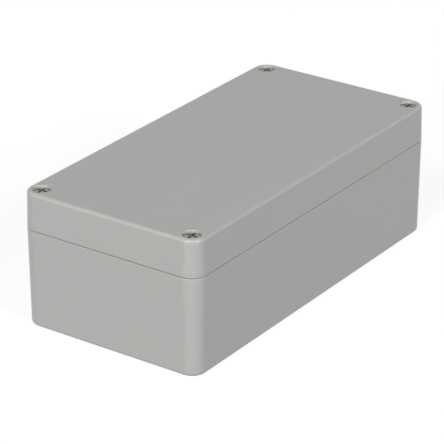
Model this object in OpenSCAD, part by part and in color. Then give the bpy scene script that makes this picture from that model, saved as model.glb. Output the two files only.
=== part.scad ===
// Two-part moulded plastic enclosure with a drafted base, a screw-down lid, a lid gasket and captive screws.
// Millimetres. Z points up, X runs along the length, and the origin is the centre of the underside.

/* [Outside] */

// length over the seam, the widest line of the box
body_l = 160; // [144:1:220]
// width over the seam
body_w = 80; // [70:1:130]
// height of the closed box
body_h = 55; // [50:1:100]
// height of the lid above the seam line
lid_h = 15.2; // [14.5:0.1:20]
// radius of the upright corners at the seam
corner_r = 6.4; // [6:0.1:8]
// lean of the base's walls, narrowing towards the underside, in degrees
base_draft = 0.7; // [0.3:0.1:1]
// lean of the lid's walls, narrowing towards the top, in degrees
lid_draft = 1.2; // [0.3:0.1:1.5]
// radius of the edge round the top
top_edge_r = 1.5; // [0.8:0.1:1.6]
// radius of the edge round the underside
bottom_edge_r = 1.5; // [0.5:0.1:2]
// open line between the lid's skirt and the base's rim
seam_gap = 0.2; // [0.15:0.05:0.6]
// radius of the two edges along the seam
seam_edge_r = 0.3; // [0.1:0.1:0.5]

/* [Walls] */

// thickness of the floor and of the lid's top
plate_t = 3; // [2.5:0.1:3.5]
// thickness of the base's side walls at the rim
wall_t = 3.5; // [3.2:0.1:4]
// thickness of the end walls at the seam
end_wall_t = 3; // [2.6:0.1:3.4]
// thickness of the lid's end walls at the seam
lid_end_wall_t = 2.6; // [2.4:0.1:2.8]
// lean of the inside faces, in degrees
inside_draft = 0.5; // [0.2:0.1:1]
// radius where the inside faces meet the floor or the lid's top
inside_edge_r = 1.5; // [0.5:0.1:2]
// radius of the main room's upright corners
room_r = 3; // [2.5:0.1:3.5]

/* [Screw channels] */

// width of the channel across each end, outside the seal
channel_w = 8; // [7.4:0.1:8.2]
// thickness of the wall between a channel and the main room
cross_wall_t = 2.9; // [2.7:0.1:3.4]
// length of the moulded block in each corner, measured along the end
corner_block = 11.4; // [11:0.2:14]
// length of the moulded block in each corner of the lid
lid_corner_block = 10.5; // [10.3:0.1:11.5]
// radius of the channels' upright corners
channel_r = 2; // [1.6:0.1:2.4]
// radius where a channel's walls meet its floor
channel_edge_r = 1; // [0.4:0.1:1.2]
// distance of each lid screw from the seam outline
screw_inset = 6; // [5.9:0.1:6.2]
// diameter of the lands where the corners of the lid meet the base
land_d = 9.6; // [9:0.1:10]
// distance between the two wall-mounting holes of one channel
mount_y = 40; // [24:1:42]
// diameter of the wall-mounting holes
mount_d = 4.5; // [3.5:0.1:5.5]

/* [Seal] */

// thickness of the tongue on the base's rim
tongue_t = 1.3; // [1:0.1:1.4]
// height of the tongue over the rim
tongue_h = 2.4; // [2:0.1:3]
// distance of the tongue's outer face from the side of the box
tongue_inset = 2.1; // [2:0.05:2.15]
// radius of the tongue's outer corners
tongue_r = 4; // [3.4:0.1:4.4]
// bevel along the tongue's top
tongue_edge = 0.3; // [0.1:0.05:0.4]
// clearance on each side of the tongue in the lid's groove
tongue_gap = 0.3; // [0.25:0.05:0.35]
// height of the gasket above the tongue
gasket_h = 2.8; // [2:0.1:3.5]
// clearance on each side of the gasket in the groove
gasket_gap = 0.1; // [0.05:0.05:0.2]
// thickness of the lips beside the groove
lip_t = 1.2; // [1:0.1:1.4]
// clearance of the lips over the base's rim
lip_gap = 1; // [0.6:0.1:1.4]

/* [Lid screws] */

// diameter of the screw's thread
thread_d = 4; // [3.5:0.1:4.2]
// pitch of the screw's thread
thread_pitch = 0.7; // [0.5:0.05:0.8]
// turns that take the thread out of its insert
undo_turns = 10; // [8:1:10]
// diameter of the screw's head
head_d = 6; // [5.8:0.1:6.5]
// height of the screw's head
head_h = 3; // [2.4:0.1:3.2]
// depth of the head's top below the lid
head_sunk = 0.6; // [0.5:0.1:1.2]
// radius of the head's upper edge
head_edge_r = 0.8; // [0.2:0.1:1]
// bevel on the thread's end
thread_edge = 0.5; // [0.3:0.1:0.8]
// diameter of the recess round the head
recess_d = 6.8; // [6.6:0.1:7.2]
// width of the broken edge round the recess
recess_edge = 0.4; // [0.1:0.05:0.45]
// diameter of the thinned shank that the retaining washer sits on
waist_d = 3; // [2.6:0.1:3.1]
// height that the thinned shank runs into the lid's web
waist_run = 0.6; // [0.4:0.1:0.8]
// diameter of the retaining washer
washer_d = 6.6; // [6:0.1:6.8]
// thickness of the retaining washer
washer_t = 0.8; // [0.6:0.1:1]
// height of the washer over the seam line with the screw driven home
washer_lift = 0.4; // [0.3:0.1:0.6]
// clearance on the radius round the washer in the lid
washer_gap = 0.4; // [0.3:0.05:0.45]
// clearance on the radius round the shank in the lid's web
shank_gap = 0.2; // [0.15:0.05:0.3]
// end clearance of the washer and the thread with the screw undone
end_gap = 0.2; // [0.1:0.05:0.4]
// running clearance on the radius, for the washer, the thread and the inserts
fit_gap = 0.05; // [0.03:0.01:0.1]
// width across the cross recess
cross_w = 4.2; // [3.6:0.1:4.6]
// thickness of the cross recess's wings
cross_t = 1.1; // [0.8:0.1:1.2]
// depth of the cross recess
cross_h = 1.7; // [1.2:0.1:2]

/* [Inserts] */

// diameter of the threaded inserts for the lid screws
insert_d = 5.6; // [5.2:0.1:6]
// length of the threaded inserts for the lid screws
insert_l = 8; // [7:0.5:9]
// depth of the inserts' tops below the seam line
insert_sunk = 0.5; // [0.4:0.1:0.8]
// clearance on the radius round the screw's tip, below its insert
tip_gap = 0.3; // [0.2:0.05:0.4]
// free depth below the screw's tip
tip_room = 5; // [3:0.5:5]
// diameter of the threaded inserts for a board
board_insert_d = 4.2; // [4:0.1:4.6]
// length of the threaded inserts for a board
board_insert_l = 4.6; // [4:0.1:5]
// bore of the threaded inserts for a board
board_bore_d = 2.5; // [2.4:0.1:3]
// depth of the board inserts' tops below the bosses
board_insert_sunk = 0.2; // [0.1:0.1:0.4]
// diameter of the bosses for a board
boss_d = 8; // [7:0.1:9]
// height of the bosses over the floor
boss_h = 6; // [5.5:0.5:10]
// distance of the bosses from the ends of the box
boss_inset_x = 22; // [20:0.5:40]
// distance of the bosses from the sides of the box
boss_inset_y = 12; // [10:0.5:20]

/* [Hidden] */

hx = body_l / 2;
hy = body_w / 2;
seam_z = body_h - lid_h;
rim_z = seam_z - seam_gap / 2;
skirt_z = seam_z + seam_gap / 2;
ceiling_z = body_h - plate_t;
// the tongue, and the groove over it
tongue_hy = hy - tongue_inset;
cross_x = hx - end_wall_t - channel_w - cross_wall_t / 2;
tongue_hx = cross_x + tongue_t / 2;
tongue_z = rim_z + tongue_h;
groove_hx = tongue_hx + tongue_gap;
groove_hy = tongue_hy + tongue_gap;
groove_r = tongue_r + tongue_gap;
groove_w = tongue_t + 2 * tongue_gap;
groove_z = tongue_z + gasket_h;
lip_z = rim_z + lip_gap;
// the rooms in the base and the lid
room_hx = cross_x - cross_wall_t / 2;
room_hy = hy - wall_t;
channel_x = hx - end_wall_t - channel_w / 2;
channel_hy = hy - corner_block;
lid_room_hx = groove_hx - groove_w - lip_t;
lid_room_hy = groove_hy - groove_w - lip_t;
lid_channel_in = groove_hx + lip_t;
lid_channel_out = hx - lid_end_wall_t;
lid_channel_x = (lid_channel_in + lid_channel_out) / 2;
lid_channel_w = lid_channel_out - lid_channel_in;
lid_channel_hy = hy - lid_corner_block;
// heights along a lid screw
screw_x = hx - screw_inset;
screw_y = hy - screw_inset;
head_top_z = body_h - head_sunk;
seat_z = head_top_z - head_h;
undo_travel = thread_pitch * undo_turns;
washer_z = seam_z + washer_lift;
web_z = washer_z + washer_t + undo_travel + end_gap;
waist_top_z = web_z + waist_run;
thread_end_z = seam_z + end_gap - undo_travel;
chamber_r = washer_d / 2 + washer_gap;
shank_r = thread_d / 2 + shank_gap;
insert_z = seam_z - insert_sunk - insert_l;
tip_r = thread_d / 2 + tip_gap;
tip_z = thread_end_z - tip_room;
// places and heights of the board bosses
boss_x = hx - boss_inset_x;
boss_y = hy - boss_inset_y;
boss_z = plate_t + boss_h;
board_insert_z = boss_z - board_insert_sunk - board_insert_l;
// corners as [x sign, y sign]: front left, front right, rear left, rear right
corners = [[-1, -1], [1, -1], [-1, 1], [1, 1]];
grey = "#a9aaa7";
steel = "#8d8b87";
brass = "#b7914b";
rubber = "#2c2d2e";
nylon = "#d9d8d2";
// overlap of joined shapes, and the run of a cut past the face that it opens
over = 1;
// points along the rounded edges of the outside, the inside and the seam
outside_arc = 6;
inside_arc = 3;
seam_arc = 2;
corner_fn = 32;
round_fn = 24;

// points of an arc in a side profile
function arc(cx, cz, r, from, to, n) =
    [for (i = [0 : n]) [cx + r * cos(from + (to - from) * i / n), cz + r * sin(from + (to - from) * i / n)]];

// profile of a side that widens upwards from a rounded foot, reaching zero offset at the height zero_z
function rising(zero_z, z0, z1, draft, foot_r, n) = concat(
    arc((z0 + foot_r - zero_z) * tan(draft) - foot_r / cos(draft), z0 + foot_r, foot_r, -90, -draft, n),
    [[(z1 - zero_z) * tan(draft), z1]]
);

// the same with a rounded upper edge
function rising_rim(zero_z, z0, z1, draft, foot_r, rim_r, n) = concat(
    arc((z0 + foot_r - zero_z) * tan(draft) - foot_r / cos(draft), z0 + foot_r, foot_r, -90, -draft, n),
    arc((z1 - rim_r - zero_z) * tan(draft) - rim_r / cos(draft), z1 - rim_r, rim_r, -draft, 90, seam_arc)
);

// profile of a side that narrows upwards to a rounded top edge, from a rounded lower edge
function falling_rim(zero_z, z0, z1, draft, top_r, rim_r, n) = concat(
    arc((zero_z - z0 - rim_r) * tan(draft) - rim_r / cos(draft), z0 + rim_r, rim_r, -90, draft, seam_arc),
    arc((zero_z - z1 + top_r) * tan(draft) - top_r / cos(draft), z1 - top_r, top_r, draft, 90, n)
);

// profile of a side that narrows upwards from a plain lower edge to a rounded top edge
function falling(zero_z, z0, z1, draft, top_r, n) = concat(
    [[(zero_z - z0) * tan(draft), z0]],
    arc((zero_z - z1 + top_r) * tan(draft) - top_r / cos(draft), z1 - top_r, top_r, draft, 90, n)
);

// a rounded rectangle whose side follows a profile of [offset from the outline, height]
module swept(ax, ay, r, side) {
    low = side[0][1];
    high = side[len(side) - 1][1];
    outline = concat([[0, low]], [for (p = side) [r + p[0], p[1]]], [[0, high]]);
    for (k = [0 : 3]) {
        a = k % 2 == 0 ? ax : ay;
        b = k % 2 == 0 ? ay : ax;
        rotate([0, 0, 90 * k])
            translate([a - r, b - r, 0]) {
                rotate_extrude(angle = 90, $fn = corner_fn) polygon(outline);
                rotate([90, 0, 0]) linear_extrude(2 * (b - r)) polygon(outline);
            }
    }
    translate([r - ax, r - ay, low]) cube([2 * (ax - r), 2 * (ay - r), high - low]);
}

// places its children at the four lid screws
module at_screws() {
    for (c = corners)
        translate([c[0] * screw_x, c[1] * screw_y, 0]) children();
}

// places its children at the four board bosses
module at_bosses() {
    for (c = corners)
        translate([c[0] * boss_x, c[1] * boss_y, 0]) children();
}

module base() {
    color(grey)
    difference() {
        union() {
            difference() {
                swept(hx, hy, corner_r,
                    rising_rim(seam_z, 0, rim_z, base_draft, bottom_edge_r, seam_edge_r, outside_arc));
                // the main room
                swept(room_hx, room_hy, room_r,
                    rising(rim_z, plate_t, rim_z + over, inside_draft, inside_edge_r, inside_arc));
                // a screw channel across each end
                for (s = [-1, 1])
                    translate([s * channel_x, 0, 0])
                        swept(channel_w / 2, channel_hy, channel_r,
                            rising(rim_z, plate_t, rim_z + over, inside_draft, channel_edge_r, inside_arc));
            }
            // tongue of the seal
            difference() {
                swept(tongue_hx, tongue_hy, tongue_r,
                    [[0, rim_z - over / 2], [0, tongue_z - tongue_edge], [-tongue_edge, tongue_z]]);
                swept(tongue_hx - tongue_t, tongue_hy - tongue_t, tongue_r - tongue_t,
                    [[0, rim_z - over], [0, tongue_z - tongue_edge], [tongue_edge, tongue_z],
                        [tongue_edge, tongue_z + over]]);
            }
            // lands that the lid's corners come down on
            at_screws() translate([0, 0, rim_z - over])
                cylinder(d = land_d, h = seam_z - rim_z + over, $fn = round_fn);
            // bosses for a board
            at_bosses() translate([0, 0, plate_t - over])
                cylinder(d = boss_d, h = boss_h + over, $fn = round_fn);
        }
        // seats of the lid screws' inserts, with room for the screw's tip
        at_screws() translate([0, 0, insert_z])
            cylinder(r = insert_d / 2 + fit_gap, h = seam_z - insert_z + over, $fn = round_fn);
        at_screws() translate([0, 0, tip_z])
            cylinder(r = tip_r, h = insert_z - tip_z + over, $fn = round_fn);
        // wall-mounting holes
        for (c = corners)
            translate([c[0] * channel_x, c[1] * mount_y / 2, -over])
                cylinder(d = mount_d, h = plate_t + 2 * over, $fn = round_fn);
        // seats of the board inserts
        at_bosses() translate([0, 0, board_insert_z])
            cylinder(r = board_insert_d / 2 + fit_gap, h = board_insert_l + over, $fn = round_fn);
    }
}

module lid() {
    color(grey)
    difference() {
        union() {
            difference() {
                swept(hx, hy, corner_r,
                    falling_rim(seam_z, skirt_z, body_h, lid_draft, top_edge_r, seam_edge_r, outside_arc));
                // room over the main room of the base
                swept(lid_room_hx, lid_room_hy, room_r,
                    falling(skirt_z, skirt_z - over, ceiling_z, inside_draft, inside_edge_r, inside_arc));
                // room over each screw channel
                for (s = [-1, 1])
                    translate([s * lid_channel_x, 0, 0])
                        swept(lid_channel_w / 2, lid_channel_hy, channel_r,
                            falling(skirt_z, skirt_z - over, ceiling_z, inside_draft, channel_edge_r,
                                inside_arc));
                // groove of the seal, between its lips
                difference() {
                    swept(groove_hx, groove_hy, groove_r, [[0, skirt_z - over], [0, groove_z]]);
                    swept(groove_hx - groove_w, groove_hy - groove_w, groove_r - groove_w,
                        [[0, skirt_z - 2 * over], [0, groove_z + over]]);
                }
                // the lips stay clear of the base's rim
                swept(lid_channel_in, groove_hy, groove_r, [[0, skirt_z - over], [0, lip_z]]);
            }
            // lands that meet the base
            at_screws() translate([0, 0, seam_z]) cylinder(d = land_d, h = over, $fn = round_fn);
        }
        at_screws() {
            // recess for the head, with a broken edge
            translate([0, 0, seat_z]) cylinder(d = recess_d, h = body_h - seat_z + over, $fn = corner_fn);
            translate([0, 0, body_h - recess_edge])
                cylinder(d1 = recess_d, d2 = recess_d + 4 * recess_edge, h = 2 * recess_edge,
                    $fn = corner_fn);
            // hole for the shank, and the chamber that the retaining washer rises in
            translate([0, 0, web_z - over])
                cylinder(r = shank_r, h = seat_z - web_z + 2 * over, $fn = round_fn);
            translate([0, 0, seam_z - over])
                cylinder(r = chamber_r, h = web_z - seam_z + over, $fn = round_fn);
        }
    }
}

module gasket() {
    color(rubber)
    difference() {
        swept(groove_hx - gasket_gap, groove_hy - gasket_gap, groove_r - gasket_gap,
            [[0, tongue_z], [0, groove_z]]);
        swept(groove_hx - groove_w + gasket_gap, groove_hy - groove_w + gasket_gap,
            groove_r - groove_w + gasket_gap, [[0, tongue_z - over], [0, groove_z + over]]);
    }
}

module lid_screw(i) {
    color(steel)
    translate([corners[i][0] * screw_x, corners[i][1] * screw_y, 0])
    difference() {
        rotate_extrude($fn = round_fn) polygon(concat(
            [
                [0, thread_end_z],
                [thread_d / 2 - thread_edge, thread_end_z],
                [thread_d / 2, thread_end_z + thread_edge],
                [thread_d / 2, washer_z],
                [waist_d / 2, washer_z],
                [waist_d / 2, waist_top_z],
                [thread_d / 2, waist_top_z + (thread_d - waist_d) / 2],
                [thread_d / 2, seat_z],
                [head_d / 2, seat_z]
            ],
            arc(head_d / 2 - head_edge_r, head_top_z - head_edge_r, head_edge_r, 0, 90, seam_arc),
            [[0, head_top_z]]
        ));
        // cross recess for the driver
        translate([0, 0, head_top_z - cross_h]) {
            for (a = [0, 90])
                rotate([0, 0, a])
                    translate([-cross_w / 2, -cross_t / 2, 0]) cube([cross_w, cross_t, cross_h + over]);
            cylinder(d1 = cross_t, d2 = cross_t + (cross_h + over) / 2, h = cross_h + over, $fn = round_fn);
        }
    }
}

module retaining_washer(i) {
    color(nylon)
    translate([corners[i][0] * screw_x, corners[i][1] * screw_y, washer_z])
    difference() {
        cylinder(d = washer_d, h = washer_t, $fn = round_fn);
        translate([0, 0, -over])
            cylinder(r = waist_d / 2 + fit_gap, h = washer_t + 2 * over, $fn = round_fn);
    }
}

module lid_insert(i) {
    color(brass)
    translate([corners[i][0] * screw_x, corners[i][1] * screw_y, insert_z])
    difference() {
        cylinder(d = insert_d, h = insert_l, $fn = round_fn);
        translate([0, 0, -over])
            cylinder(r = thread_d / 2 + fit_gap, h = insert_l + 2 * over, $fn = round_fn);
    }
}

module board_insert(i) {
    color(brass)
    translate([corners[i][0] * boss_x, corners[i][1] * boss_y, board_insert_z])
    difference() {
        cylinder(d = board_insert_d, h = board_insert_l, $fn = round_fn);
        translate([0, 0, -over])
            cylinder(d = board_bore_d, h = board_insert_l + 2 * over, $fn = round_fn);
    }
}

base();
lid();
gasket();
lid_screw(0);  // lid_screw_front_left
lid_screw(1);  // lid_screw_front_right
lid_screw(2);  // lid_screw_rear_left
lid_screw(3);  // lid_screw_rear_right
retaining_washer(0);  // retaining_washer_front_left
retaining_washer(1);  // retaining_washer_front_right
retaining_washer(2);  // retaining_washer_rear_left
retaining_washer(3);  // retaining_washer_rear_right
lid_insert(0);  // lid_insert_front_left
lid_insert(1);  // lid_insert_front_right
lid_insert(2);  // lid_insert_rear_left
lid_insert(3);  // lid_insert_rear_right
board_insert(0);  // board_insert_front_left
board_insert(1);  // board_insert_front_right
board_insert(2);  // board_insert_rear_left
board_insert(3);  // board_insert_rear_right
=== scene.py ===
import math

import bmesh
import bpy
from mathutils import Matrix, Vector


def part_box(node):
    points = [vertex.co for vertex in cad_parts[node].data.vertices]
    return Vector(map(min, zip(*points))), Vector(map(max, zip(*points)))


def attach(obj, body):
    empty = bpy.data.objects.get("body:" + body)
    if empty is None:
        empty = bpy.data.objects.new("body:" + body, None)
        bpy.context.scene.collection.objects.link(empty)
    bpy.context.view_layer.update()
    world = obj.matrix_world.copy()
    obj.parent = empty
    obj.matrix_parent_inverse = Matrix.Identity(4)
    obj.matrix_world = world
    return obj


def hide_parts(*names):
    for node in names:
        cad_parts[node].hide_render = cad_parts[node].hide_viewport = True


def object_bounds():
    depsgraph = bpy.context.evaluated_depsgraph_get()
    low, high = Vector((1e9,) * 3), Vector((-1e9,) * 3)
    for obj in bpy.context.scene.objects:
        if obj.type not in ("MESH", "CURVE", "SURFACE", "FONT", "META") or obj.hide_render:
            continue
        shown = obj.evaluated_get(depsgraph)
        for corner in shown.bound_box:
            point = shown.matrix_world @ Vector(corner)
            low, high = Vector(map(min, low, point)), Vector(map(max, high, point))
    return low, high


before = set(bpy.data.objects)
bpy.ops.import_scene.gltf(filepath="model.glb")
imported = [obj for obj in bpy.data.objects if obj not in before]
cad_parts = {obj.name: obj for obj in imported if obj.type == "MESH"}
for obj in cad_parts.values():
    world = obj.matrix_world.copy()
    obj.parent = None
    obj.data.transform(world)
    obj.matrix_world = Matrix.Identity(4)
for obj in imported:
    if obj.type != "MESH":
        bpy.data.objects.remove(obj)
cadLow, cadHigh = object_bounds()
mm = 0.001  # the pieces' sizes below are in millimetres, and angles in degrees
weldReach = 1e-6  # points nearer to each other than this, in metres, are one point
corners = ["front_left", "front_right", "rear_left", "rear_right"]
print("frame loaded:", len(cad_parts), "nodes")


# general helpers

def linear(hexText):
    # sRGB hex to the linear colour that the shaders want
    channels = [int(hexText[i:i + 2], 16) / 255 for i in (1, 3, 5)]
    return [c / 12.92 if c <= 0.04045 else ((c + 0.055) / 1.055) ** 2.4 for c in channels] + [1.0]


def perMm(size):
    # texture scale for a pattern of that size in millimetres, on coordinates in metres
    return 1 / (size * mm)


def addNode(tree, kind, values=None, **settings):
    # values go to the inputs: a socket is linked, anything else is set
    node = tree.nodes.new(kind)
    for key, value in settings.items():
        setattr(node, key, value)
    for key, value in (values or {}).items():
        if isinstance(value, bpy.types.NodeSocket):
            tree.links.new(value, node.inputs[key])
        else:
            node.inputs[key].default_value = value
    return node


def newMaterial(name):
    material = bpy.data.materials.new(name)
    material.use_nodes = True
    material.node_tree.nodes.clear()
    return material, material.node_tree


def addObject(name, data):
    thing = bpy.data.objects.new(name, data)
    bpy.context.scene.collection.objects.link(thing)
    return thing


def meshObject(name, bm):
    mesh = bpy.data.meshes.new(name)
    bm.to_mesh(mesh)
    bm.free()
    return addObject(name, mesh)


def dress(piece, material, body, node):
    # a finished piece stands for its CAD node and rides on that body
    piece.data.materials.clear()
    piece.data.materials.append(material)
    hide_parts(node)
    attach(piece, body)


def shadeSmooth(mesh, sharpAngle):
    mesh.polygons.foreach_set("use_smooth", [True] * len(mesh.polygons))
    mesh.set_sharp_from_angle(angle=math.radians(sharpAngle))


def weld(bm, reach=weldReach):
    # near points become one, and what that leaves without length or area goes
    bmesh.ops.remove_doubles(bm, verts=bm.verts, dist=reach)
    bmesh.ops.dissolve_degenerate(bm, edges=bm.edges, dist=reach)


def arcPoints(centreR, centreZ, radius, start, stop, steps):
    # a round stretch of a line of (radius, height) points, angles in degrees
    turns = [math.radians(start + (stop - start) * i / steps) for i in range(steps + 1)]
    return [(centreR + radius * math.cos(t), centreZ + radius * math.sin(t)) for t in turns]


def roundedSection(inner, outer, low, high, edge, steps):
    # a rectangle with rounded corners, from its lower outer corner round
    centres = [(outer - edge, low + edge), (outer - edge, high - edge),
               (inner + edge, high - edge), (inner + edge, low + edge)]
    points = []
    for i, (across, up) in enumerate(centres):
        points += arcPoints(across, up, edge, 90 * i - 90, 90 * i, steps)
    return points


def spinLine(bm, line, steps):
    # turns a line of (radius, height) points once about the z axis
    verts = [bm.verts.new((r, 0, z)) for r, z in line]
    edges = [bm.edges.new(pair) for pair in zip(verts, verts[1:])]
    bmesh.ops.spin(bm, geom=verts + edges, cent=(0, 0, 0), axis=(0, 0, 1), angle=2 * math.pi, steps=steps,
                   use_merge=True)
    weld(bm)
    bmesh.ops.recalc_face_normals(bm, faces=bm.faces)


# materials

def mottle(tree, place, size, detail, look):
    # a noise of that size, and the look's two shades mixed by it
    noise = addNode(tree, "ShaderNodeTexNoise", {"Vector": place, "Scale": perMm(size), "Detail": detail})
    colour = addNode(tree, "ShaderNodeMix", {"Factor": noise.outputs["Fac"], "A": linear(look["dark"]),
                                             "B": linear(look["light"])}, data_type="RGBA")
    return noise.outputs["Fac"], colour.outputs[2]


plasticLook = {
    "light": "#a8a8a6", "dark": "#a6a6a4", "flowSize": 38, "flowDetail": 3.0,
    "grainSize": 0.9,  # the mould's real grain is near 0.1 mm, drawn coarser so that it shows
    "grainDetail": 2.0, "grainDepth": 0.012, "grainStrength": 0.5,
    "roughness": (0.30, 0.38), "ior": 1.58, "specular": 0.4,
}


def grainedPolycarbonate(look):
    # grey polycarbonate from a spark-textured mould: an even, slightly warm grey with a soft satin sheen
    material, tree = newMaterial("grained_polycarbonate")
    place = addNode(tree, "ShaderNodeTexCoord").outputs["Object"]
    colour = mottle(tree, place, look["flowSize"], look["flowDetail"], look)[1]
    grain = addNode(tree, "ShaderNodeTexNoise", {
        "Vector": place, "Scale": perMm(look["grainSize"]), "Detail": look["grainDetail"]})
    rough = addNode(tree, "ShaderNodeMapRange", {
        "Value": grain.outputs["Fac"], "To Min": look["roughness"][0], "To Max": look["roughness"][1]})
    bump = addNode(tree, "ShaderNodeBump", {
        "Height": grain.outputs["Fac"], "Strength": look["grainStrength"],
        "Distance": look["grainDepth"] * mm})
    shader = addNode(tree, "ShaderNodeBsdfPrincipled", {
        "Base Color": colour, "Roughness": rough.outputs["Result"], "Normal": bump.outputs["Normal"],
        "IOR": look["ior"], "Specular IOR Level": look["specular"]})
    addNode(tree, "ShaderNodeOutputMaterial", {"Surface": shader.outputs["BSDF"]})
    return material


waveRate = 20  # radians that the wave texture runs through in one unit

# stainless steel as it leaves the lathe: a warm, rather dark shine
steelLook = {
    "name": "turned_stainless_steel", "colour": "#a29f98", "roughness": (0.2, 0.32),
    "ringSpacing": 0.69,  # real tool rings are near 0.1 mm, drawn coarser so that they show
    "ringDepth": 0.006, "ringStrength": 0.4, "ringWaver": 0.6, "ringDetail": 2.0,
    "stainSize": 1.6, "stainDetail": 4.0,
}

# free-cutting brass off an automatic lathe: a warm yellow
brassLook = {
    "name": "turned_brass", "colour": "#c9a35c", "roughness": (0.24, 0.4),
    "ringSpacing": 0.79,  # drawn coarser in the same way
    "ringDepth": 0.006, "ringStrength": 0.4, "ringWaver": 0.5, "ringDetail": 2.0,
    "stainSize": 2, "stainDetail": 4.0,
}


def turnedMetal(look):
    # fine tool rings round the part's own axis, and a shine that changes a little from place to place
    material, tree = newMaterial(look["name"])
    place = addNode(tree, "ShaderNodeAttribute", attribute_name="ownPlace").outputs["Vector"]
    rings = addNode(tree, "ShaderNodeTexWave", {
        "Vector": place, "Scale": perMm(look["ringSpacing"]) * 2 * math.pi / waveRate,
        "Distortion": look["ringWaver"], "Detail": look["ringDetail"]},
        wave_type="RINGS", rings_direction="Z")
    stain = addNode(tree, "ShaderNodeTexNoise", {
        "Vector": place, "Scale": perMm(look["stainSize"]), "Detail": look["stainDetail"]})
    rough = addNode(tree, "ShaderNodeMapRange", {
        "Value": stain.outputs["Fac"], "To Min": look["roughness"][0], "To Max": look["roughness"][1]})
    bump = addNode(tree, "ShaderNodeBump", {
        "Height": rings.outputs["Fac"], "Strength": look["ringStrength"],
        "Distance": look["ringDepth"] * mm})
    shader = addNode(tree, "ShaderNodeBsdfPrincipled", {
        "Base Color": linear(look["colour"]), "Metallic": 1.0, "Roughness": rough.outputs["Result"],
        "Normal": bump.outputs["Normal"]})
    addNode(tree, "ShaderNodeOutputMaterial", {"Surface": shader.outputs["BSDF"]})
    return material


rubberLook = {
    "light": "#3a3b3c", "dark": "#2c2d2e", "speckSize": 0.8, "speckDetail": 4.0, "speckDepth": 0.02,
    "speckStrength": 0.5, "roughness": 0.82, "ior": 1.41, "specular": 0.4,
}


def softSilicone(look):
    # moulded silicone seal: near-black, quite matt, with a fine open skin
    material, tree = newMaterial("soft_silicone_rubber")
    place = addNode(tree, "ShaderNodeTexCoord").outputs["Object"]
    speck, colour = mottle(tree, place, look["speckSize"], look["speckDetail"], look)
    bump = addNode(tree, "ShaderNodeBump", {
        "Height": speck, "Strength": look["speckStrength"], "Distance": look["speckDepth"] * mm})
    shader = addNode(tree, "ShaderNodeBsdfPrincipled", {
        "Base Color": colour, "Roughness": look["roughness"], "Normal": bump.outputs["Normal"],
        "IOR": look["ior"], "Specular IOR Level": look["specular"]})
    addNode(tree, "ShaderNodeOutputMaterial", {"Surface": shader.outputs["BSDF"]})
    return material


nylonLook = {
    "light": "#e3e0d6", "dark": "#d3cfc2", "cloudSize": 2.5, "cloudDetail": 3.0,
    "roughness": 0.42, "ior": 1.53,
    "inside": 0.2, "reach": (0.4, 0.35, 0.25),  # share of light that passes in, and how far by colour
}


def naturalNylon(look):
    # undyed moulded nylon: milky ivory, a little light passes into it
    material, tree = newMaterial("natural_nylon")
    place = addNode(tree, "ShaderNodeTexCoord").outputs["Object"]
    colour = mottle(tree, place, look["cloudSize"], look["cloudDetail"], look)[1]
    shader = addNode(tree, "ShaderNodeBsdfPrincipled", {
        "Base Color": colour, "Roughness": look["roughness"], "IOR": look["ior"],
        "Subsurface Weight": look["inside"], "Subsurface Radius": [reach * mm for reach in look["reach"]],
        "Subsurface Scale": 1.0})
    addNode(tree, "ShaderNodeOutputMaterial", {"Surface": shader.outputs["BSDF"]})
    return material


plastic = grainedPolycarbonate(plasticLook)
steel = turnedMetal(steelLook)
brass = turnedMetal(brassLook)
rubber = softSilicone(rubberLook)
nylon = naturalNylon(nylonLook)
print("materials ready")


# base and lid, from the CAD shapes

shellShape = {"sharpAngle": 40, "flatWeight": 100, "nodes": {"base": "base_shell", "lid": "lid_shell"}}


def makeShell(shape, node, name):
    bm = bmesh.new()
    bm.from_mesh(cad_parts[node].data)
    weld(bm)
    shell = meshObject(name, bm)
    dress(shell, plastic, node, node)
    shadeSmooth(shell.data, shape["sharpAngle"])
    # flat faces keep their own normal, and only the rounded edges turn
    weighted = shell.modifiers.new("flat_faces", "WEIGHTED_NORMAL")
    weighted.keep_sharp = True
    weighted.weight = shape["flatWeight"]


for node, name in shellShape["nodes"].items():
    makeShell(shellShape, node, name)
print("base and lid dressed")


# gasket

gasketShape = {
    "width": 1.7, "cornerR": 4.2, "edge": 0.45,
    "edgeSteps": 4, "cornerSteps": 14, "sharpAngle": 50,
}


def extrudeRing(bm, ring, run):
    # carries a closed line of points and edges along, and gives the new line
    edges = [part for part in ring if isinstance(part, bmesh.types.BMEdge)]
    made = bmesh.ops.extrude_edge_only(bm, edges=edges)["geom"]
    verts = [part for part in made if isinstance(part, bmesh.types.BMVert)]
    bmesh.ops.translate(bm, verts=verts, vec=run)
    return verts + [part for part in made if isinstance(part, bmesh.types.BMEdge)]


def makeGasket(shape):
    low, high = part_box("gasket")
    section = roundedSection(high.y - shape["width"] * mm, high.y, low.z, high.z, shape["edge"] * mm,
                             shape["edgeSteps"])
    bm = bmesh.new()
    verts = [bm.verts.new((0, y, z)) for y, z in section]
    ring = verts + [bm.edges.new((verts[i - 1], verts[i])) for i in range(len(verts))]
    # from the middle of a long side the section runs to each corner and turns round it, and then runs home
    farX, farY = high.x - shape["cornerR"] * mm, high.y - shape["cornerR"] * mm
    stops = [(0, farY), (farX, farY), (farX, -farY), (-farX, -farY), (-farX, farY)]
    for (startX, startY), (x, y) in zip(stops, stops[1:]):
        ring = extrudeRing(bm, ring, Vector((x - startX, y - startY, 0)))
        ring = bmesh.ops.spin(bm, geom=ring, cent=(x, y, 0), axis=(0, 0, 1), angle=-math.pi / 2,
                              steps=shape["cornerSteps"])["geom_last"]
    extrudeRing(bm, ring, Vector((farX, 0, 0)))
    weld(bm)
    bmesh.ops.recalc_face_normals(bm, faces=bm.faces)
    gasket = meshObject("gasket_ring", bm)
    dress(gasket, rubber, "lid", "gasket")
    shadeSmooth(gasket.data, shape["sharpAngle"])


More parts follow.
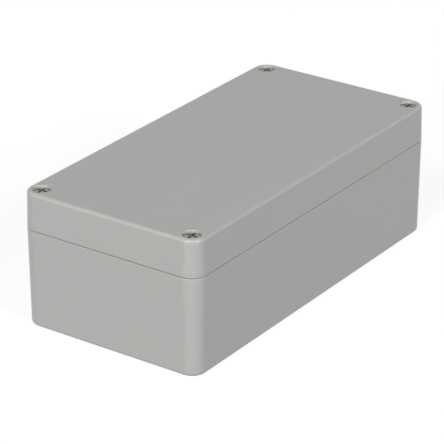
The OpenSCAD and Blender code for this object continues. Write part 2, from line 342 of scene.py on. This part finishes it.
makeGasket(gasketShape)
print("gasket made")


# what the turned parts share

threadForm = {"rootFlat": 1 / 4, "crestFlat": 1 / 8}  # shares of the pitch, as in a metric thread


def spinThread(bm, rootR, crestR, pitch, low, high, steps):
    # one pitch of the thread's line climbs a helix, and the ends are cut square
    root, crest = threadForm["rootFlat"], threadForm["crestFlat"]
    flank = (1 - root - crest) / 2
    line = [(rootR, 0), (rootR, root), (crestR, root + flank), (crestR, root + flank + crest), (rootR, 1)]
    verts = [bm.verts.new((r, 0, low + (share - 1) * pitch)) for r, share in line]
    edges = [bm.edges.new(pair) for pair in zip(verts, verts[1:])]
    turns = math.ceil((high - low) / pitch) + 1
    bmesh.ops.spin(bm, geom=verts + edges, cent=(0, 0, 0), axis=(0, 0, 1), dvec=(0, 0, pitch / steps),
                   angle=2 * math.pi * turns, steps=steps * turns)
    weld(bm)
    for height, up in ((low, -1), (high, 1)):
        bmesh.ops.bisect_plane(bm, geom=bm.verts[:] + bm.edges[:] + bm.faces[:], dist=weldReach,
                               plane_co=(0, 0, height), plane_no=(0, 0, up), clear_outer=True)


def savePlace(mesh):
    # the turned finish follows the piece's own axis, so its own coordinates are kept as an attribute
    own = mesh.attributes.new("ownPlace", "FLOAT_VECTOR", "POINT")
    for vert, item in zip(mesh.vertices, own.data):
        item.vector = vert.co


def placeCopies(master, shape, pieceName, nodeName, material, body=None, fromTop=False):
    # one copy for each corner, with its own turn and CAD node, on the body given or one of the copy's name
    savePlace(master.data)
    for corner in corners:
        low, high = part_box(nodeName + corner)
        middle = (low + high) / 2
        mesh = master.data.copy()
        turn = Matrix.Rotation(math.radians(shape["turn"][corner]), 4, "Z")
        mesh.transform(Matrix.Translation((middle.x, middle.y, high.z if fromTop else low.z)) @ turn)
        piece = addObject(pieceName + corner, mesh)
        dress(piece, material, body or pieceName + corner, nodeName + corner)
        shadeSmooth(mesh, shape["sharpAngle"])
    bpy.data.objects.remove(master)


# lid screws

screwShape = {
    "mm": {
        "headR": 3.0, "headHeight": 2.98,  # a hair off the recess's floor, so that no faces share a plane
        "headEdge": 0.3, "crown": 0.3, "underEdge": 0.12,
        "shankR": 2.0, "waistR": 1.5, "waistLength": 8.6,
        "rootR": 1.57, "pitch": 0.7, "tipEdge": 0.5, "coreOverlap": 0.4,
        "crossAcross": 4.8, "crossWidth": 0.95, "crossDepth": 1.2, "keelDepth": 0.5,
        "pitAcross": 1.3, "pitDepth": 1.0, "softEdge": 0.05, "mergeReach": 0.004,
    },
    "steps": 48, "crownSteps": 6, "edgeSteps": 5, "threadSteps": 32, "pitSteps": 32, "softSteps": 2,
    "edgeStart": 80,  # where the dome passes into the rounded edge
    "softAngle": 38, "sharpAngle": 32,
    "keelShare": 0.1,  # the keel's width as a share of the wing's
    "crossTurn": 0.01,  # a hair off the turned head's own edges
    "turn": {"front_left": 0, "front_right": 0, "rear_left": 0, "rear_right": 0},
}


def combine(thing, operation, others):
    # applies one boolean for each of the others, and throws them away
    for other in others:
        boolean = thing.modifiers.new("combine", "BOOLEAN")
        boolean.operation = operation
        boolean.solver = "EXACT"
        boolean.object = other
    graph = bpy.context.evaluated_depsgraph_get()
    mesh = bpy.data.meshes.new_from_object(thing.evaluated_get(graph))
    thing.modifiers.clear()
    thing.data = mesh
    for other in others:
        bpy.data.objects.remove(other)


def turnBlank(shape, size, waistLow):
    # head, shank and waist, with the head's top at z = 0
    headR, edge, under, crown = size["headR"], size["headEdge"], size["underEdge"], size["crown"]
    headLow, shankR, waistR = -size["headHeight"], size["shankR"], size["waistR"]
    waistTop, coreLow = waistLow + size["waistLength"], waistLow - size["coreOverlap"]
    flat, count = headR - edge, shape["crownSteps"]
    line = [(flat * i / count, -crown * (i / count) ** 2) for i in range(count)]  # slightly domed top
    line += arcPoints(flat, -crown - edge, edge, shape["edgeStart"], 0, shape["edgeSteps"])
    line += [(headR, headLow + under), (headR - under, headLow), (shankR, headLow),
             (shankR, waistTop + shankR - waistR), (waistR, waistTop), (waistR, coreLow), (0, coreLow)]
    bm = bmesh.new()
    spinLine(bm, line, shape["steps"])
    return meshObject("screw", bm)


def cutThread(shape, size, tip, waistLow):
    # the thread on its core, with the first turn cut away to a point
    bm = bmesh.new()
    spinThread(bm, size["rootR"], size["shankR"], size["pitch"], tip, waistLow, shape["threadSteps"])
    bmesh.ops.holes_fill(bm, edges=[edge for edge in bm.edges if edge.is_boundary], sides=0)
    for vert in bm.verts:
        reach = size["shankR"] - max(0, size["tipEdge"] - (vert.co.z - tip))
        radius = vert.co.xy.length
        if radius > reach:
            vert.co.xy *= reach / radius
    bmesh.ops.recalc_face_normals(bm, faces=bm.faces)
    return meshObject("thread", bm)


def wingCutter(shape, size, turn):
    # one pair of the cross's wings, upright from the head's top at z = 0, with a keel along its floor
    across, width, depth = size["crossAcross"], size["crossWidth"], size["crossDepth"]
    bm = bmesh.new()
    bmesh.ops.create_cube(bm, size=1)
    bmesh.ops.scale(bm, verts=bm.verts, vec=(across, width, 2 * depth))
    floor = [face for face in bm.faces if face.calc_center_median().z < -depth / 2]
    made = bmesh.ops.extrude_face_region(bm, geom=floor)["geom"]
    bmesh.ops.delete(bm, geom=floor, context="FACES_ONLY")
    keel = [part for part in made if isinstance(part, bmesh.types.BMVert)]
    bmesh.ops.translate(bm, verts=keel, vec=(0, 0, -size["keelDepth"]))
    bmesh.ops.scale(bm, verts=keel, vec=(1, shape["keelShare"], 1))
    bmesh.ops.rotate(bm, verts=bm.verts, cent=(0, 0, 0), matrix=Matrix.Rotation(math.radians(turn), 3, "Z"))
    return meshObject("wing", bm)


def pitCutter(shape, size):
    # the round pit in the cross's middle, which ends in a point below the wings
    depth, narrow, wide = size["crossDepth"], size["crossWidth"] / 2, size["pitAcross"] / 2
    line = [(0, -depth - size["pitDepth"]), (narrow, -depth), (wide, 0), (wide, depth), (0, depth)]
    bm = bmesh.new()
    spinLine(bm, line, shape["pitSteps"])
    return meshObject("pit", bm)


def softenHead(screw, shape, size):
    # the cuts' slivers are merged away, and the head's sharp edges are rounded
    bm = bmesh.new()
    bm.from_mesh(screw.data)
    weld(bm, size["mergeReach"])
    sharp = [edge for edge in bm.edges
             if edge.is_manifold and edge.calc_face_angle() > math.radians(shape["softAngle"])
             and min(vert.co.z for vert in edge.verts) > -size["headHeight"]]
    bmesh.ops.bevel(bm, geom=sharp, offset=size["softEdge"], affect="EDGES", segments=shape["softSteps"],
                    profile=0.5, material=-1, clamp_overlap=True)
    bm.to_mesh(screw.data)
    bm.free()


def makeScrew(shape, tip, waistLow):
    # tip is the thread's end and waistLow its top, where the washer sits, in metres from the head's top
    size = {key: value * mm for key, value in shape["mm"].items()}
    screw = turnBlank(shape, size, waistLow)
    combine(screw, "UNION", [cutThread(shape, size, tip, waistLow)])
    wings = [wingCutter(shape, size, turn + shape["crossTurn"]) for turn in (0, 90)]
    combine(screw, "DIFFERENCE", wings + [pitCutter(shape, size)])
    softenHead(screw, shape, size)
    return screw


screwLow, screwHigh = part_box("lid_screw_front_left")
washerLow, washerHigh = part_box("retaining_washer_front_left")
screw = makeScrew(screwShape, screwLow.z - screwHigh.z, washerLow.z - screwHigh.z)
placeCopies(screw, screwShape, "screw_", "lid_screw_", steel, fromTop=True)
print("lid screws made")


# retaining washers

washerShape = {
    "innerR": 1.55, "edge": 0.18, "edgeSteps": 4, "steps": 64, "sharpAngle": 32,
    "turn": {"front_left": 0, "front_right": 50, "rear_left": 110, "rear_right": 200},
}


def makeWasher(shape, outer, height):
    line = roundedSection(shape["innerR"] * mm, outer, 0, height, shape["edge"] * mm, shape["edgeSteps"])
    bm = bmesh.new()
    spinLine(bm, line + line[:1], shape["steps"])
    return meshObject("washer", bm)


washer = makeWasher(washerShape, (washerHigh.x - washerLow.x) / 2, washerHigh.z - washerLow.z)
placeCopies(washer, washerShape, "washer_", "retaining_washer_", nylon)
print("retaining washers made")


# threaded inserts

# grooveStart and grooveEnd are shares of the height
insertShapes = {
    "lid_insert_": {
        "boreR": 2.05, "rootR": 2.32, "pitch": 0.7, "threadSteps": 24, "sharpAngle": 32,
        "rim": 0.25, "knurl": 0.16, "teeth": 36, "groove": 0.45, "grooveStart": 0.42, "grooveEnd": 0.58,
        "turn": {"front_left": 5, "front_right": 40, "rear_left": 80, "rear_right": 130},
    },
    "board_insert_": {
        "boreR": 1.25, "rootR": 1.48, "pitch": 0.5, "threadSteps": 24, "sharpAngle": 32,
        "rim": 0.2, "knurl": 0.12, "teeth": 30, "groove": 0.35, "grooveStart": 0.42, "grooveEnd": 0.58,
        "turn": {"front_left": 12, "front_right": 75, "rear_left": 33, "rear_right": 160},
    },
}


def makeInsert(shape, outer, height):
    rim, grooveR, teeth = shape["rim"] * mm, outer - shape["groove"] * mm, shape["teeth"]
    grooveLow, grooveHigh = height * shape["grooveStart"], height * shape["grooveEnd"]
    # two bands outside, with a groove between them
    line = [(grooveR, 0), (outer, rim), (outer, grooveLow), (grooveR, grooveLow + rim),
            (grooveR, grooveHigh - rim), (outer, grooveHigh), (outer, height - 2 * rim),
            (outer - rim, height)]
    bm = bmesh.new()
    spinLine(bm, line, 2 * teeth)
    for vert in bm.verts:
        # every other row of points goes in, which knurls the bands
        row = round(math.atan2(vert.co.y, vert.co.x) / (math.pi / teeth))
        if vert.co.xy.length > outer - weldReach and row % 2:
            vert.co.xy *= 1 - shape["knurl"] * mm / outer
    spinThread(bm, shape["rootR"] * mm, shape["boreR"] * mm, shape["pitch"] * mm, 0, height,
               shape["threadSteps"])
    for level in (0, height):
        loops = [edge for edge in bm.edges
                 if edge.is_boundary and all(abs(vert.co.z - level) < weldReach for vert in edge.verts)]
        bmesh.ops.bridge_loops(bm, edges=loops)
    bmesh.ops.recalc_face_normals(bm, faces=bm.faces)
    return meshObject("insert", bm)


for nodeName, shape in insertShapes.items():
    insertLow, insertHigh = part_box(nodeName + "front_left")
    insert = makeInsert(shape, (insertHigh.x - insertLow.x) / 2, insertHigh.z - insertLow.z)
    placeCopies(insert, shape, "brass_" + nodeName, nodeName, brass, body="base")
print("inserts made")


# floor, light and camera

def seenWhite(tree):
    # 1 for the rays that show the white ground, straight or in a shiny or clear face, and 0 for the rest
    path = addNode(tree, "ShaderNodeLightPath")
    seen = path.outputs["Is Camera Ray"]
    for kind in ("Is Glossy Ray", "Is Transmission Ray"):
        either = addNode(tree, "ShaderNodeMath", {0: seen, 1: path.outputs[kind]}, operation="MAXIMUM")
        seen = either.outputs[0]
    return seen


floorLook = {"size": 6.0, "colour": "#808080", "glow": 0.84}  # size in metres


def makeFloor(look):
    # pale sheet: it keeps the box's shadow, reads white, and can be seen through from below
    bm = bmesh.new()
    bmesh.ops.create_grid(bm, x_segments=1, y_segments=1, size=look["size"] / 2)
    floor = meshObject("floor", bm)
    material, tree = newMaterial("pale_floor")
    glow = addNode(tree, "ShaderNodeMath", {0: seenWhite(tree), 1: look["glow"]}, operation="MULTIPLY")
    sheet = addNode(tree, "ShaderNodeBsdfDiffuse", {"Color": linear(look["colour"])})
    shine = addNode(tree, "ShaderNodeEmission", {"Strength": glow.outputs[0]})
    both = addNode(tree, "ShaderNodeAddShader", {0: sheet.outputs[0], 1: shine.outputs[0]})
    below = addNode(tree, "ShaderNodeNewGeometry").outputs["Backfacing"]
    clear = addNode(tree, "ShaderNodeBsdfTransparent")
    surface = addNode(tree, "ShaderNodeMixShader", {0: below, 1: both.outputs[0], 2: clear.outputs[0]})
    addNode(tree, "ShaderNodeOutputMaterial", {"Surface": surface.outputs[0]})
    floor.data.materials.append(material)


worldLook = {"light": 0.03}


def makeWorld(look):
    # even white surroundings, seen white but lighting the box more softly
    world = bpy.data.worlds.new("studio")
    bpy.context.scene.world = world
    world.use_nodes = True
    tree = world.node_tree
    tree.nodes.clear()
    strength = addNode(tree, "ShaderNodeMapRange", {
        "Value": seenWhite(tree), "To Min": look["light"], "To Max": 1.0})
    sky = addNode(tree, "ShaderNodeBackground", {"Strength": strength.outputs["Result"]})
    addNode(tree, "ShaderNodeOutputWorld", {"Surface": sky.outputs[0]})


def aim(thing, target, azimuth, elevation, distance):
    # stands a lamp or camera that way and that far from the target, looking back at it
    a, e = math.radians(azimuth), math.radians(elevation)
    back = Vector((math.sin(a) * math.cos(e), -math.cos(a) * math.cos(e), math.sin(e)))
    thing.location = target + back * distance
    thing.rotation_mode = "QUATERNION"
    thing.rotation_quaternion = (-back).to_track_quat("-Z", "Y")


# metres and watts, and a lamp takes the common values that it doesn't give itself
lampCommon = {"distance": 3.0, "size": 0.9, "colour": "#ffffff", "shine": True}
lamps = {
    "leftLow": {"azimuth": -92, "elevation": 12, "power": 42.3, "colour": "#fafffc"},
    "leftHigh": {"azimuth": -82, "elevation": 42, "power": 39.6},
    "leftRim": {"azimuth": -135, "elevation": 34, "power": 5.5},
    "rightHigh": {"azimuth": -12, "elevation": 30, "power": 58.9},
    "rightRim": {"azimuth": 52, "elevation": 16, "power": 4.9},
    "rearRight": {"azimuth": 100, "elevation": 3, "power": 14, "distance": 2.2, "size": 0.22,
                  "shine": False},
    "rearLeft": {"azimuth": 150, "elevation": 3, "power": 22, "distance": 2.2, "size": 0.22,
                 "shine": False},
    "rearHigh": {"azimuth": 160, "elevation": 22, "power": 3, "distance": 2.2, "size": 0.6,
                 "shine": False},
}


def makeLamps():
    middle = (cadLow + cadHigh) / 2
    for name, own in lamps.items():
        lamp = {**lampCommon, **own}
        data = bpy.data.lights.new(name, "AREA")
        data.size = lamp["size"]
        data.energy = lamp["power"]
        data.color = linear(lamp["colour"])[:3]
        thing = addObject(name, data)
        thing.visible_glossy = lamp["shine"]  # the lamps behind leave no glint along the rims
        aim(thing, middle, lamp["azimuth"], lamp["elevation"], lamp["distance"])


# in millimetres
cameraView = {
    "azimuth": -55.0327, "elevation": 24.9291, "distance": 960.7, "target": (-3.866, 2.039, 23.199),
    "sensor": 36, "lens": 200.65,
}


def makeCamera(view):
    data = bpy.data.cameras.new("camera")
    data.sensor_width = view["sensor"]
    data.lens = view["lens"]
    camera = addObject("camera", data)
    aim(camera, Vector(view["target"]) * mm, view["azimuth"], view["elevation"], view["distance"] * mm)
    bpy.context.scene.camera = camera


makeFloor(floorLook)
makeWorld(worldLook)
makeLamps()
makeCamera(cameraView)
bpy.context.scene.view_settings.view_transform = "Standard"
print("studio ready")
